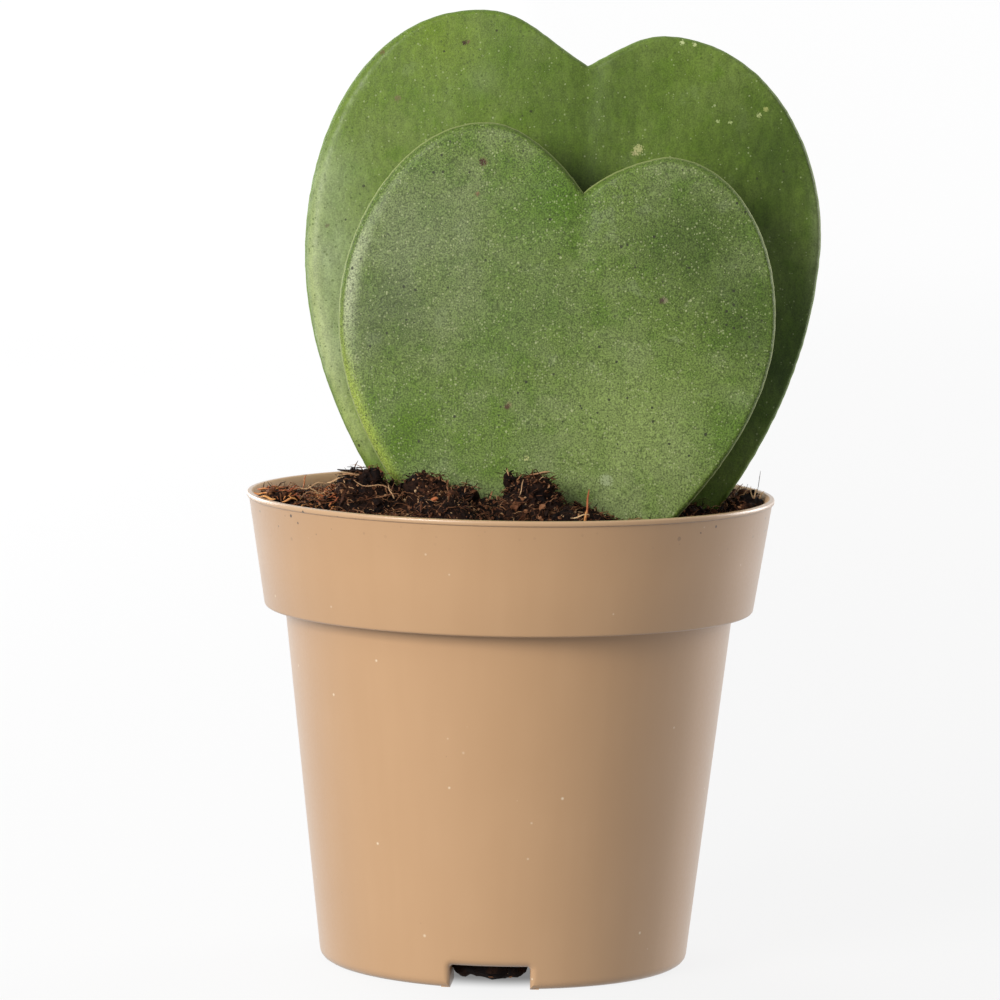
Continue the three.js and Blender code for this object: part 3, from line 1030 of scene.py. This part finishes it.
soilSet = {
    "seed": 11,
    "topLevel": 47 * mm,
    "cuts": 4,
    "roughs": ((0.4 * mm, 2.2 * mm), (0.28 * mm, 0.9 * mm), (0.14 * mm, 0.4 * mm)),
    "cutSlope": 0.15,
    "roughSlope": 0.1,
    "scatterSlope": 0.05,
    "heapNoise": 4.2,
    "clumpNoise": 9.1,
    "clumpRough": 0.8,
    "clumpGap": 0.1 * mm,
    "wallNear": 0.3 * mm,
    "wallBand": 0.8 * mm,
    "leafBand": (0.35 * mm, 1.2 * mm),
    "crumbs": {"count": 900, "size": (0.22 * mm, 0.6 * mm), "tones": (0.0, 0.62),
               "detail": 2, "keep": 0.55},
    "grains": {"count": 8500, "size": (0.09 * mm, 0.26 * mm), "tones": (0.0, 0.95),
               "detail": 1, "keep": 1},
    "fibres": {"count": 1050, "length": (0.9 * mm, 4.2 * mm), "radius": (0.025 * mm, 0.06 * mm),
               "tones": (0.12, 0.85), "sides": 4, "segments": 6, "flat": 1.0, "wave": 0.5, "stand": 0.15},
    "shreds": {"count": 3200, "length": (0.5 * mm, 2.0 * mm), "radius": (0.06 * mm, 0.16 * mm),
               "tones": (0.0, 0.85), "sides": 5, "segments": 3, "flat": 0.45, "wave": 0.25, "stand": 0.4},
    "spikes": {"count": 5200, "length": (0.4 * mm, 1.5 * mm), "radius": (0.025 * mm, 0.065 * mm),
               "tones": (0.0, 0.55), "sides": 3, "segments": 2, "flat": 1.0, "wave": 0.2, "stand": 0.9},
    "rust": {"count": 560, "length": (0.5 * mm, 1.9 * mm), "radius": (0.05 * mm, 0.15 * mm),
             "tones": (0.55, 1.0), "sides": 5, "segments": 3, "flat": 0.5, "wave": 0.25, "stand": 0.3},
    "rustEdge": -19.5 * mm,
    "kinds": 7,
    "lumps": ((1.1, 0.6, (9.7, 0)), (2.9, 0.55, (0, 5.3))),
    "squash": (0.6, 1.15),
    "crumbLift": (-0.25, 0.5),
    "crumbRoom": 1.3,
    "fibreRise": 0.3,
    "fibreFollow": 0.7,
    "fibreLift": 0.3,
    "fibreRoom": 0.25 * mm,
    "waves": (0.3, 1.6),
    "litterSides": 7,
    "litterSegments": 8,
    "leafGap": 0.04 * mm,
    "wallGap": 0.02 * mm,
}

# Clumps on the heap and under the pot: middle and reach of each in millimetres from the pot's axis

soilClumps = (
    ((-9.5, -10.6, 54.7), (2.6, 1.5, 1.7)),
    ((-5.6, -10.6, 54.2), (2.2, 1.4, 1.0)),
    ((-7.4, -17, 53.4), (2.9, 2.0, 1.2)),
    ((2.4, -12, 54.9), (2.5, 1.8, 1.7)),
    ((-26.4, -6.5, 53.0), (2.6, 3.4, 0.9)),
    ((27.0, 1.5, 52.2), (2.0, 3.0, 1.2)),
    ((26.4, 7.5, 52.0), (1.5, 3.0, 1.0)),
    ((-0.3, -11, 56.0), (0.55, 0.5, 0.9)),
    ((-15.6, -9.6, 55.9), (1.5, 1.2, 1.1)),
    ((6.2, -21, 52.8), (1.2, 1.5, 0.9)),
    ((-1.5, -15.6, 1.75), (3.4, 2.6, 1.3)),
    ((-4.0, -15.7, 1.85), (1.7, 2.4, 1.15)),
    ((1.1, -15.7, 1.85), (1.7, 2.4, 1.2)),
)

# Hollows in the heap: middle from the pot's axis, reach and depth in millimetres

soilHollows = (
    ((-17.8, -7.5), 3.2, 0.9), ((-12.4, -9.5), 1.7, 1.7), ((-20, -3), 4, 0.8),
    ((10.5, -15), 4.2, 2.0), ((15.5, -14), 4.5, 2.1), ((20.5, -10.5), 3.2, 1.4), ((14, -22), 4.5, 1.6),
)

# Litter laid one by one: from, to, radius, flatness, bow and tone, in millimetres from the pot's axis

soilLitter = (
    ((-19.5, -8.6, 56.6), (-15.8, -9, 56.5), 0.36, 0.4, 0.06, 0.1),
    ((-18.9, -8.8, 56.1), (-16.2, -9.2, 56.2), 0.3, 0.5, -0.1, 0.8),
    ((-23.8, -11, 54.7), (-20.6, -11, 55.3), 0.06, 1, 0.3, 0.9),
    ((-23.4, -14, 54.1), (-20.2, -12.6, 54.8), 0.07, 1, -0.3, 0.8),
    ((-22.6, -13, 55.3), (-21.4, -12.4, 54.1), 0.07, 1, 0.2, 0.95),
    ((-20.6, -10, 55.2), (-18.8, -9.6, 55.9), 0.22, 0.5, 0.1, 0.9),
    ((-17.6, -12, 55.7), (-13.2, -12.4, 54.8), 0.06, 1, 0.25, 0.85),
    ((-13.7, -13, 55.4), (-13.0, -14, 54.0), 0.08, 0.8, 0.2, 0.9),
    ((-15.2, -15, 54.2), (-12.4, -15, 54.7), 0.12, 0.5, 0.1, 0.65),
    ((2.1, -12.6, 56.8), (4.3, -12.6, 57.2), 0.26, 0.4, 0.05, 0.8),
    ((-0.7, -11, 56.6), (0.3, -11, 57.1), 0.12, 0.8, 0.1, 0.05),
    ((1.0, -14.4, 54.6), (1.4, -14, 56.4), 0.06, 1, 0.1, 0.9),
    ((6.6, -24, 53.2), (8.6, -24, 53.7), 0.16, 0.5, 0.15, 0.98),
    ((5.4, -18, 53.0), (8.0, -19, 53.4), 0.05, 1, 0.1, 0.95),
    ((25.4, 2, 52.6), (26.9, 3, 54.1), 0.5, 0.4, 0.3, 0.42),
    ((26.9, 3, 53.9), (28.4, 2, 53.2), 0.35, 0.4, -0.3, 0.55),
    ((27.4, 0, 52.6), (28.1, 1, 54.3), 0.09, 1, 0.2, 0.98),
    ((27.7, 0.5, 52.4), (27.3, 0.6, 54.6), 0.06, 1, -0.15, 1.0),
    ((28.0, 1, 52.6), (28.9, 1.4, 54.0), 0.07, 1, 0.2, 0.95),
    ((28.2, 4, 53.5), (28.6, 4.6, 56.0), 0.035, 1, 0.04, 0.3),
    ((-2.0, -17.9, 1.5), (-1.5, -17.9, 1.6), 0.12, 0.8, 0.1, 0.95),
    ((-0.9, -18.0, 1.2), (-0.6, -18.0, 1.4), 0.1, 0.8, 0.1, 0.8),
    ((0.4, -17.9, 1.5), (1.0, -17.8, 1.3), 0.1, 0.8, 0.2, 0.9),
    ((1.4, -17.6, 1.7), (1.9, -17.5, 1.4), 0.12, 0.8, 0.2, 0.7),
    ((-1.2, -17.6, 1.8), (-0.2, -17.8, 1.7), 0.08, 0.8, 0.2, 0.85),
    ((0.1, -17.8, 1.9), (0.6, -17.9, 1.7), 0.12, 0.8, 0.1, 0.6),
    ((1.2, -17.5, 2.1), (2.2, -17.3, 2.0), 0.13, 0.8, 0.1, 0.65),
    ((-2.6, -17.8, 1.9), (-1.9, -17.9, 2.0), 0.11, 0.8, 0.1, 0.55),
    ((0.7, -17.8, 0.9), (1.4, -17.6, 1.1), 0.1, 0.8, 0.2, 0.75),
    ((-1.6, -18.0, 1.0), (-1.0, -18.0, 0.9), 0.1, 0.8, 0.2, 0.6),
    ((-0.4, -17.9, 2.1), (0.2, -17.8, 2.2), 0.1, 0.8, 0.1, 0.8),
)

rustLitter = (
    ((8.3, -22, 52.6), (8.6, -22, 56.2), 0.14, 0.8, 0.05, 0.75),
    ((8.1, -22.6, 52.4), (8.4, -22.6, 54.0), 0.2, 0.7, 0.05, 0.95),
    ((-28.9, -7.5, 53.7), (-26.9, -9, 53.8), 0.24, 0.5, 0.15, 0.9),
    ((-28.0, -10, 53.6), (-26.2, -12, 53.5), 0.2, 0.6, -0.15, 1.0),
    ((-27.2, -8, 53.9), (-25.2, -8.4, 54.1), 0.16, 0.6, 0.2, 0.7),
    ((-28.6, -5, 53.9), (-27.4, -6.4, 54.1), 0.2, 0.6, 0.1, 0.85),
    ((-25.4, -14, 53.4), (-24.2, -13.2, 53.9), 0.18, 0.6, 0.1, 0.95),
    ((-24.9, -10.6, 54.2), (-24.0, -9.6, 54.9), 0.12, 0.8, 0.1, 0.6),
    ((-23.5, -4, 54.0), (-23.2, -4, 55.5), 0.1, 0.8, 0.1, 0.8),
    ((-8.8, -18.6, 54.4), (-8.0, -18.6, 54.6), 0.3, 0.8, 0.1, 0.8),
)

soilRandom = random.Random(soilSet["seed"])


def copyNode(nodeName, name):
    source = frame["nodes"][nodeName]
    copied = source.copy()
    copied.data = source.data.copy()
    copied.parent = None
    copied.matrix_world = source.matrix_world
    copied.name = copied.data.name = name
    for key in list(copied.keys()):
        del copied[key]
    bpy.context.collection.objects.link(copied)
    pickOnly(copied)
    applyPlace()
    setMode("EDIT")
    bpy.ops.mesh.select_all(action="SELECT")
    bpy.ops.mesh.remove_doubles(threshold=0.001 * mm)
    setMode("OBJECT")
    return copied


def roughen(place, layers, seed):
    rise = 0
    for height, size in layers:
        rise += height * noise.noise(place / size + Vector((seed, seed, seed)))
    return rise


def isUpper(face, slope):
    return face.center.z > soilSet["topLevel"] and face.normal.z > slope


# The heap keeps the form of the frame's soil, with its upper faces cut finer and roughened

def makeHeap():
    s = soilSet
    heap = copyNode("soil", "potting_mix")
    cutFiner(heap, "FACE", heap.data.polygons, lambda face: isUpper(face, s["cutSlope"]), s["cuts"])
    for vertex, normal in withNormals(heap):
        if normal.z < s["roughSlope"] or vertex.co.z < s["topLevel"]:
            continue
        room = innerRadius(vertex.co.z) - fromAxis(vertex.co)
        nearLeaf = min(blade.find_nearest(vertex.co)[3] for blade in blades)
        share = smooth(s["wallNear"], s["wallBand"] + s["wallNear"], room)
        share *= smooth(*s["leafBand"], nearLeaf)
        vertex.co += normal * roughen(vertex.co, s["roughs"], s["heapNoise"]) * share
        for (x, y), reach, depth in soilHollows:
            far = math.hypot(vertex.co.x - axisX - x * mm, vertex.co.y - y * mm) / (reach * mm)
            vertex.co.z -= depth * mm * math.exp(-far * far)
    tidyNormals(heap)
    return heap


def makeClumps():
    s = soilSet
    clumps = []
    for (x, y, z), reach in soilClumps:
        middle = (axisX + x * mm, y * mm, z * mm)
        bpy.ops.mesh.primitive_ico_sphere_add(subdivisions=4, radius=mm, location=middle)
        clump = freshObject("clump")
        clump.scale = reach
        applyPlace()
        for vertex, normal in withNormals(clump):
            vertex.co += normal * roughen(vertex.co, s["roughs"], s["clumpNoise"]) * s["clumpRough"]
            radius = fromAxis(vertex.co)
            room = innerRadius(vertex.co.z) - s["clumpGap"]
            if vertex.co.z > s["topLevel"] and radius > room:
                vertex.co.x = axisX + (vertex.co.x - axisX) * room / radius
                vertex.co.y *= room / radius
        clumps.append(clump)
    return joinAll(clumps, "soil_clumps")


def makeCrumbKinds(detail, keep):
    kinds = []
    for kind in range(soilSet["kinds"]):
        bpy.ops.mesh.primitive_ico_sphere_add(subdivisions=detail, radius=1)
        crumb = freshObject("crumb kind")
        for vertex in crumb.data.vertices:
            lump = 0
            for scale, height, (x, y) in soilSet["lumps"]:
                lump += noise.noise(vertex.co * scale + Vector((kind * x, kind * y, 0))) * height
            vertex.co *= 1 + lump
        fewer = crumb.modifiers.new("fewer faces", "DECIMATE")
        fewer.ratio = keep
        applyAll(crumb)
        kinds.append(takeShape(crumb))
    return kinds


# Straight fibres of length 1 and radius 1 that are bent when they are laid

def makeFibreKind(sides, segments):
    bpy.ops.mesh.primitive_cylinder_add(vertices=sides, radius=1, depth=1, end_fill_type="TRIFAN")
    fibre = freshObject("fibre kind")

    def isLong(edge):
        start, end = (fibre.data.vertices[i].co.z for i in edge.vertices)
        return abs(start - end) > 0.5

    cutFiner(fibre, "EDGE", fibre.data.edges, isLong, segments - 1)
    return takeShape(fibre)


def takeShape(obj):
    points = np.array([vertex.co for vertex in obj.data.vertices])
    faces = [tuple(face.vertices) for face in obj.data.polygons]
    bpy.data.objects.remove(obj)
    return points, faces


# Copies of a few small shapes as one piece, each copy with a tone of its own

def gatherCopies(name, copies):
    points, faces, tones, count = [], [], [], 0
    for shape, corners, tone in copies:
        points.append(shape)
        faces += [tuple(i + count for i in face) for face in corners]
        tones += [tone] * len(shape)
        count += len(shape)
    mesh = bpy.data.meshes.new(name)
    mesh.from_pydata(np.concatenate(points).tolist(), [], faces)
    mesh.attributes.new("tone", "FLOAT", "POINT").data.foreach_set("value", tones)
    return linkMesh(name, mesh)


def topFaces(pieces, rightmost):
    faces, reach = [], 0
    for piece in pieces:
        piece.data.update()
        for face in piece.data.polygons:
            if isUpper(face, soilSet["scatterSlope"]) and face.center.x < rightmost:
                reach += face.area
                faces.append((reach, face.center.copy(), face.normal.copy()))
    return faces


def pickSpot(faces):
    found = bisect.bisect_left(faces, soilRandom.random() * faces[-1][0], key=lambda face: face[0])
    return faces[found][1], faces[found][2]


def isClear(place, reach):
    if fromAxis(place) + reach > innerRadius(place.z) - soilSet["wallGap"]:
        return False
    return all(blade.find_nearest(place)[3] > reach + soilSet["leafGap"] for blade in blades)


def moved(points, matrix):
    turn = np.array(matrix.to_3x3())
    return points @ turn.T + np.array(matrix.translation)


def scatterCrumbs(name, settings, faces):
    kinds = makeCrumbKinds(settings["detail"], settings["keep"])
    copies = []
    while len(copies) < settings["count"]:
        place, normal = pickSpot(faces)
        size = mix(*settings["size"], soilRandom.random() ** 2)
        squash = Vector([size * soilRandom.uniform(*soilSet["squash"]) for _ in range(3)])
        turn = Euler([soilRandom.uniform(0, 2 * math.pi) for _ in range(3)]).to_matrix().to_4x4()
        place = place + normal * size * soilRandom.uniform(*soilSet["crumbLift"])
        tone = mix(*settings["tones"], soilRandom.random() ** 2)
        points, corners = soilRandom.choice(kinds)
        if isClear(place, soilSet["crumbRoom"] * max(squash)):
            matrix = Matrix.Translation(place) @ turn @ Matrix.Diagonal((*squash, 1))
            copies.append((moved(points, matrix), corners, tone))
    return gatherCopies(name, copies)


def layFibre(straight, place, along, length, radius, flat, wave):
    turn = along.to_track_quat("Z", "Y").to_matrix().to_4x4()
    return moved(bendFibre(straight, length, radius, flat, wave), Matrix.Translation(place) @ turn)


def scatterFibres(name, settings, faces):
    s = soilSet
    straight, corners = makeFibreKind(settings["sides"], settings["segments"])
    copies = []
    while len(copies) < settings["count"]:
        place, normal = pickSpot(faces)
        length = mix(*settings["length"], soilRandom.random() ** 2)
        radius = mix(*settings["radius"], soilRandom.random())
        heading = soilRandom.uniform(0, 2 * math.pi)
        rise = soilRandom.gauss(0, s["fibreRise"])
        along = Vector((math.cos(heading), math.sin(heading), rise))
        along = (along - normal * along.dot(normal) * s["fibreFollow"]).normalized()
        along = along.lerp(normal, settings["stand"] * soilRandom.random()).normalized()
        lift = radius + soilRandom.uniform(0, s["fibreLift"]) * mm + length * 0.35 * along.dot(normal)
        place = place + normal * lift
        tone = mix(*settings["tones"], soilRandom.random())
        tips = [place + along * length * share for share in (-0.5, -0.2, 0.2, 0.5)]
        if all(isClear(tip, 2 * radius + s["fibreRoom"]) for tip in tips):
            wave = settings["wave"] * soilRandom.uniform(*s["waves"])
            bent = layFibre(straight, place, along, length, radius, settings["flat"], wave)
            copies.append((bent, corners, tone))
    return gatherCopies(name, copies)


def bendFibre(straight, length, radius, flat, wave):
    at = straight[:, 2]
    taper = radius * (1 - 0.6 * np.abs(2 * at) ** 3)
    bow = wave * length * (at * at - 0.08)
    sway = wave * 0.25 * length * np.sin(7 * at)
    bent = [straight[:, 0] * taper + bow, straight[:, 1] * taper * flat + sway, at * length]
    return np.stack(bent, axis=1)


def layLitter(name, litter):
    straight, corners = makeFibreKind(soilSet["litterSides"], soilSet["litterSegments"])
    copies = []
    for start, end, radius, flat, bow, tone in litter:
        start, end = Vector(start) * mm, Vector(end) * mm
        along = end - start
        place = start.lerp(end, 0.5) + Vector((axisX, 0, 0))
        bent = layFibre(straight, place, along, along.length, radius * mm, flat, bow)
        copies.append((bent, corners, tone))
    return gatherCopies(name, copies)


soilFinish = {
    "peat": ((0.0, (0.004, 0.002, 0.002)), (0.25, (0.022, 0.009, 0.005)), (0.5, (0.115, 0.043, 0.02)),
             (0.75, (0.3, 0.145, 0.07)), (1.0, (0.62, 0.42, 0.23))),
    "rust": ((0.0, (0.03, 0.008, 0.004)), (0.3, (0.09, 0.02, 0.01)), (0.6, (0.25, 0.07, 0.03)),
             (0.8, (0.42, 0.13, 0.05)), (1.0, (0.62, 0.3, 0.1))),
    "heapTone": 0.35,
    "heapRoughness": 0.8,
    "crumbRoughness": 0.75,
    "fibreRoughness": 0.6,
    "mottle": (2600.0, 420.0),
    "toneSpan": (0.35, 0.75),
    "toneSwing": 0.5,
    "specular": 0.12,
    "bump": (0.8, 0.12 * mm),
}


# Without a tone of its own, a piece takes the tones that its small shapes carry

def makeSoilFinish(name, tints, roughness, ownTone=None):
    s = soilFinish
    material, tree, where = newMaterial(name)
    mottle = mottled(where, *s["mottle"])
    if ownTone is None:
        tone = readMark(tree, "tone")
    else:
        tone = between(mottle["Coarse"], *s["toneSpan"], 0.0, ownTone)
    shift = times(math2("SUBTRACT", mottle["Fine"], 0.5), s["toneSwing"])
    ramp = addNode("ShaderNodeValToRGB", {"Fac": math2("ADD", tone, shift, clamp=True)})
    while len(ramp.color_ramp.elements) < len(s[tints]):
        ramp.color_ramp.elements.new(0.5)
    for element, (place, color) in zip(ramp.color_ramp.elements, s[tints]):
        element.position = place
        element.color = (*color, 1)
    feedShader(tree, {
        "Base Color": ramp.outputs["Color"],
        "Roughness": roughness,
        "Specular IOR Level": s["specular"],
        "Normal": bumped(mottle["Fine"], *s["bump"]),
    })
    return material


heap = makeHeap()
darkPeat = makeSoilFinish("dark peat", "peat", soilFinish["heapRoughness"], soilFinish["heapTone"])
finishPiece(heap, darkPeat, ["soil"])
clumps = makeClumps()
finishPiece(clumps, darkPeat)
soilFaces = topFaces([heap, clumps], axisX + rimRadius)
rustFaces = topFaces([heap, clumps], axisX + soilSet["rustEdge"])
crumbFinish = makeSoilFinish("peat crumb", "peat", soilFinish["crumbRoughness"])
fibreFinish = makeSoilFinish("peat fibre", "peat", soilFinish["fibreRoughness"])
rustFinish = makeSoilFinish("rusty fibre", "rust", soilFinish["fibreRoughness"])
for kind in ("crumbs", "grains"):
    crumbs = scatterCrumbs("soil_" + kind, soilSet[kind], soilFaces)
    finishPiece(crumbs, crumbFinish)
for kind in ("fibres", "shreds", "spikes"):
    fibres = scatterFibres("soil_" + kind, soilSet[kind], soilFaces)
    finishPiece(fibres, fibreFinish)
rusty = scatterFibres("rusty_shreds", soilSet["rust"], rustFaces)
finishPiece(rusty, rustFinish)
finishPiece(layLitter("soil_litter", soilLitter), fibreFinish)
finishPiece(layLitter("rusty_litter", rustLitter), rustFinish)


# floor, world and lights

studioSet = {
    "floorSize": 30.0,
    "floorColor": (0.05, 0.05, 0.05),
    "floorRoughness": 0.9,
    "floorSpecular": 0.1,
    "floorGlow": 0.97,
    "floorBounce": 0.27,
    "floorMirror": 0.8,
    "sideShade": (-30 * mm, 25 * mm, 1.0, 0.955),
    "frontShade": (0.0, 1.5, 0.91, 0.995),
    "underPotShadow": (13 * mm, 20.5 * mm, 0.25, 1.0),
    "mirrorFade": (-0.3, 0.0),
    "worldColor": (0.98, 0.99, 1.0),
    "frontLight": 0.5,
    "backLight": 0.9,
    "backFrom": (0.0, 0.6),
    "lightSize": 0.4,
    "lights": {
        "key_light": {"turn": -40, "rise": 20, "far": 0.9, "power": 8.4, "color": (1.0, 0.97, 0.93)},
        "left_strip": {"turn": -144, "rise": 8, "far": 0.8, "power": 2.7, "color": (0.95, 0.98, 1.0)},
        "right_strip": {"turn": 128, "rise": 8, "far": 0.8, "power": 3.9, "color": (1.0, 0.94, 0.9)},
    },
}


# The camera sees a white table that is a little greyer in front and at the right, a painted shade, and
# darker under the pot, a painted shadow

def makeFloor():
    s = studioSet
    bpy.ops.mesh.primitive_plane_add(size=s["floorSize"], location=(0, 0, 0))
    floor = freshObject("studio_floor")
    material, tree, where = newMaterial("white table")
    feedShader(tree, {
        "Base Color": s["floorColor"],
        "Roughness": s["floorRoughness"],
        "Specular IOR Level": s["floorSpecular"],
    })
    axes = splitAxes(where)
    rays = tree.nodes.new("ShaderNodeLightPath").outputs
    fromPot = farFrom(where, (axisX, 0, 0), (1, 1, 0))
    shade = between(axes["X"], *s["sideShade"])
    # painted shade: greyer in front, and a painted shadow under the pot that also dims what mirror rays see
    # there
    for distance, span in ((axes["Y"], s["frontShade"]), (fromPot, s["underPotShadow"])):
        shade = times(shade, between(distance, *span))
    seen = times(times(shade, s["floorGlow"]), rays["Is Camera Ray"])
    mirrored = times(between(axes["Y"], *s["mirrorFade"]), rays["Is Glossy Ray"])
    mirrored = times(times(mirrored, shade), s["floorMirror"])
    bounced = times(rays["Is Diffuse Ray"], s["floorBounce"])
    strength = math2("MAXIMUM", seen, math2("MAXIMUM", mirrored, bounced))
    glow = addNode("ShaderNodeEmission", {"Strength": strength})
    table = tree.nodes["Principled BSDF"]
    both = addNode("ShaderNodeAddShader", {0: table.outputs[0], 1: glow.outputs[0]})
    feed(tree.nodes["Material Output"].inputs["Surface"], both.outputs[0])
    floor.data.materials.append(material)


# Light rays and mirror rays see a bright room behind the plant and a dimmer one in front of it

def makeWorld():
    world = bpy.data.worlds.new("white studio")
    bpy.context.scene.world = world
    world.use_nodes = True
    tree = world.node_tree
    background = tree.nodes["Background"].inputs
    axes = splitAxes(tree.nodes.new("ShaderNodeTexCoord").outputs["Generated"])
    s = studioSet
    behind = between(axes["Y"], *s["backFrom"], s["frontLight"], s["backLight"])
    rays = tree.nodes.new("ShaderNodeLightPath").outputs
    feed(background["Color"], s["worldColor"])
    feed(background["Strength"], math2("MAXIMUM", rays["Is Camera Ray"], behind))


def addSoftLight(name, settings):
    turn, rise = math.radians(settings["turn"]), math.radians(settings["rise"])
    aim = Vector((axisX, 0, potTop))
    away = Vector((math.sin(turn) * math.cos(rise), -math.cos(turn) * math.cos(rise), math.sin(rise)))
    bpy.ops.object.light_add(type="AREA", location=aim + away * settings["far"])
    light = freshObject(name)
    light.rotation_euler = away.to_track_quat("Z", "Y").to_euler()
    light.data.shape = "SQUARE"
    light.data.size = studioSet["lightSize"]
    light.data.energy = settings["power"]
    light.data.color = settings["color"]
    light.visible_camera = False


makeFloor()
makeWorld()
for name, settings in studioSet["lights"].items():
    addSoftLight(name, settings)
bpy.context.scene.view_settings.view_transform = "Standard"
print("floor, world and lights ready")
